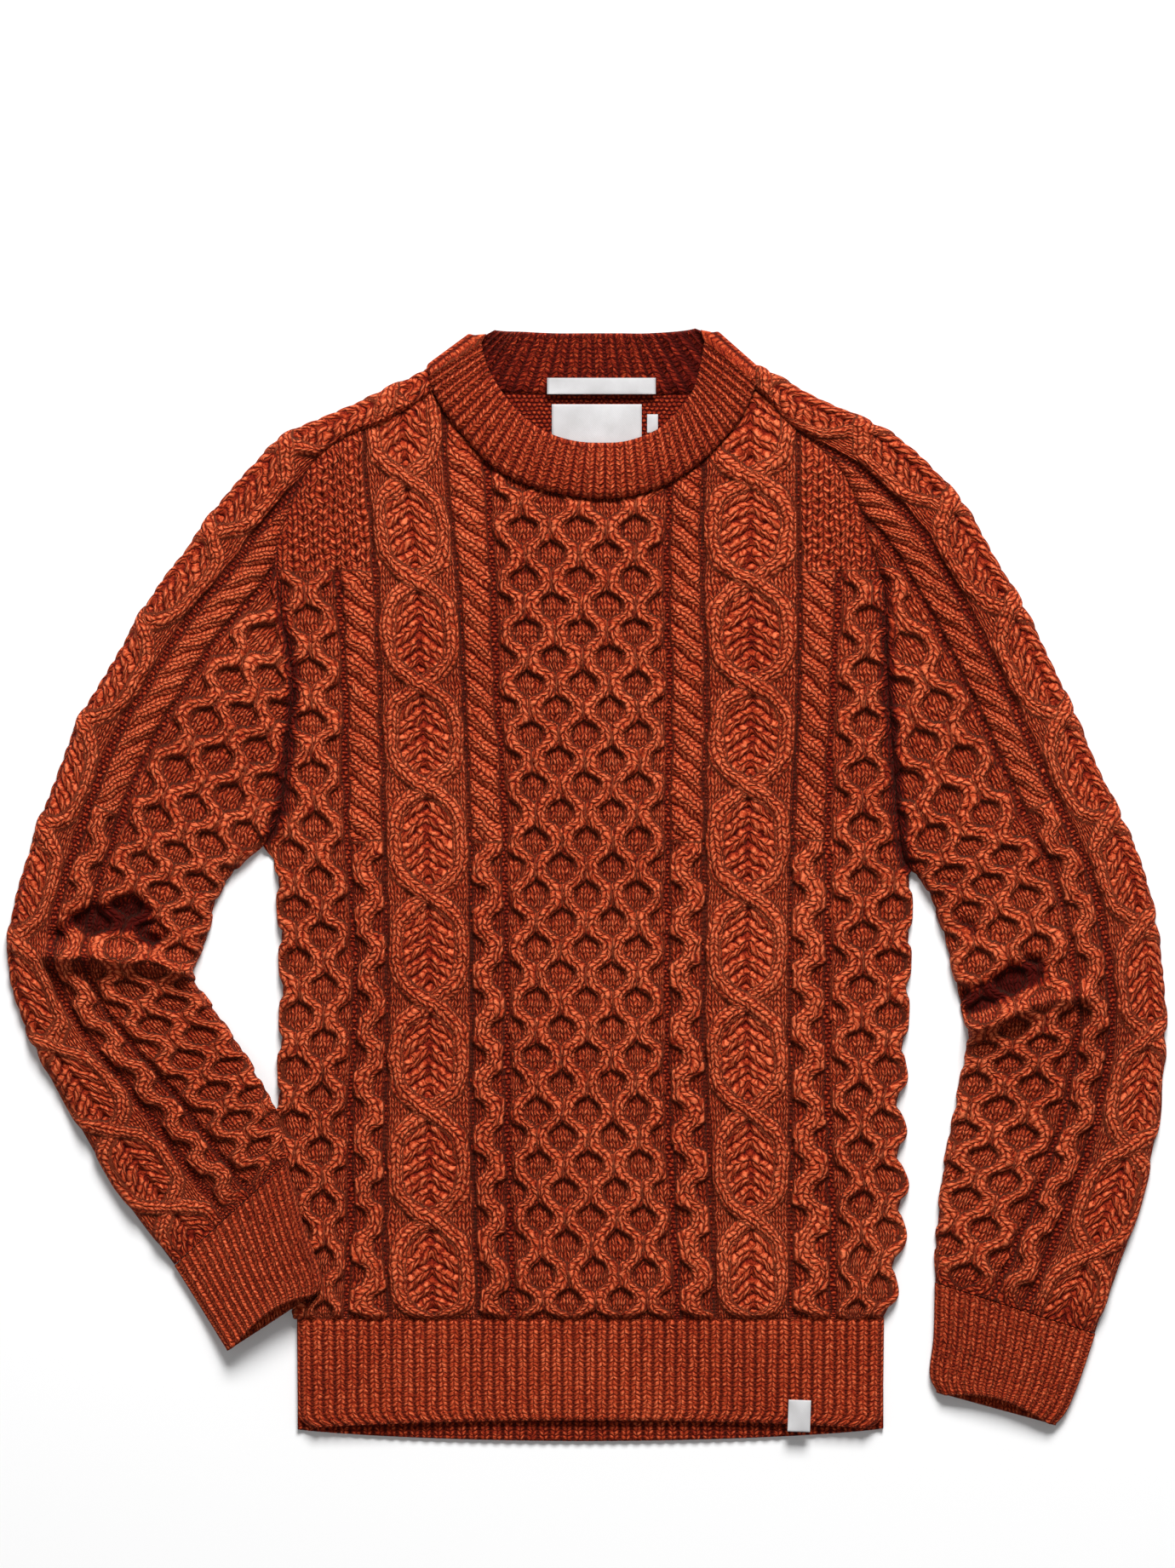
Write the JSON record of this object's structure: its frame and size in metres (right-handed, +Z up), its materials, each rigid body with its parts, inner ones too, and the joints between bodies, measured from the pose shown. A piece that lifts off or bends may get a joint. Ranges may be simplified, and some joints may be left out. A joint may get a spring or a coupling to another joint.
{
  "type": "aran sweater",
  "caption": "Long-sleeved crew-neck aran pullover in cable knit, laid out flat and face up, with ribbed collar, cuffs and hem.",
  "frame": {"origin": "middle of the laid-out garment's box, on the surface it lies on", "axes": "+Z up off the surface, +Y towards the neck, +X towards the sleeve that lies clear of the body"},
  "size_m": [0.7433, 0.7201, 0.0214],
  "materials": {
    "marled_wool": "marled rust and orange wool, cable knit, matte",
    "wool_rib": "the same wool in one by one rib, matte",
    "label_satin": "off-white woven satin ribbon, bare"
  },
  "bodies": {
    "root": {"front": "marled_wool", "back": "marled_wool", "sleeve_left": "marled_wool", "sleeve_right": "marled_wool", "cuff_left": "wool_rib", "cuff_right": "wool_rib", "welt_front": "wool_rib", "welt_back": "wool_rib", "collar": "wool_rib", "neck_label_long": "label_satin", "neck_label_main": "label_satin", "size_tab": "label_satin", "hem_label": "label_satin"}
  },
  "joints": []
}
